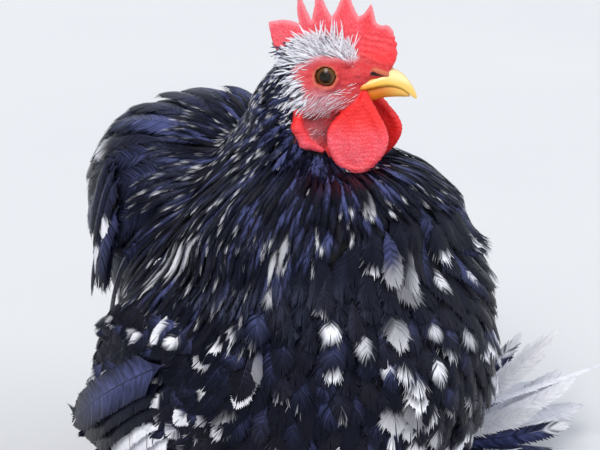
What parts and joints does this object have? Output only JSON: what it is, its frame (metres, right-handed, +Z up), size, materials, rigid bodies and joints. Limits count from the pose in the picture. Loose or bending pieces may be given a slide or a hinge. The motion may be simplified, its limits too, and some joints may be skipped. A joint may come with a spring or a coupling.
{
  "type": "mottled Pekin (Cochin) bantam cockerel, standing, life-size still model",
  "caption": "Life-size standing bantam cockerel: round black plumage with white tips, single red comb, wattles, feathered feet, head turned aside. A still display model.",
  "frame": {"origin": "on the floor, under the middle of the box round the whole bird", "axes": "+Z up, the body faces -Y, the bird's left side is +X; the head is turned about 35 degrees to its left"},
  "size_m": [0.336, 0.2454, 0.2735],
  "materials": {
    "black_plumage": "soft black contour feathers with a blue-violet sheen, many tipped white",
    "white_plumage": "white and grey-blue feathers, matte with fine barbs",
    "flight_feather": "smooth stiff black vanes with a blue gloss, some white",
    "face_skin": "bare wrinkled red skin, paler round the ear",
    "red_flesh": "pebbled bright red comb, wattles and lobes, slightly waxy",
    "beak_horn": "smooth yellow horn, orange towards the gape",
    "eye": "wet cornea over an olive brown iris with a black pupil",
    "leg_scale": "yellow scaly skin"
  },
  "bodies": {
    "root": {"head": "face_skin", "comb": "red_flesh", "eye_L": "eye", "eye_R": "eye", "beak_upper": "beak_horn", "beak_lower": "beak_horn", "wattle_L": "red_flesh", "wattle_R": "red_flesh", "earlobe_L": "red_flesh", "earlobe_R": "red_flesh", "neck": "black_plumage", "trunk": "black_plumage", "tail": "black_plumage", "wing_L": "flight_feather", "wing_R": "flight_feather", "thigh_L": "black_plumage", "thigh_R": "black_plumage", "foot_L": "leg_scale", "foot_R": "leg_scale", "foot_feathers_L": "white_plumage", "foot_feathers_R": "white_plumage", "claw_L1": "beak_horn", "claw_L2": "beak_horn", "claw_L3": "beak_horn", "claw_L4": "beak_horn", "claw_R1": "beak_horn", "claw_R2": "beak_horn", "claw_R3": "beak_horn", "claw_R4": "beak_horn"}
  },
  "joints": []
}
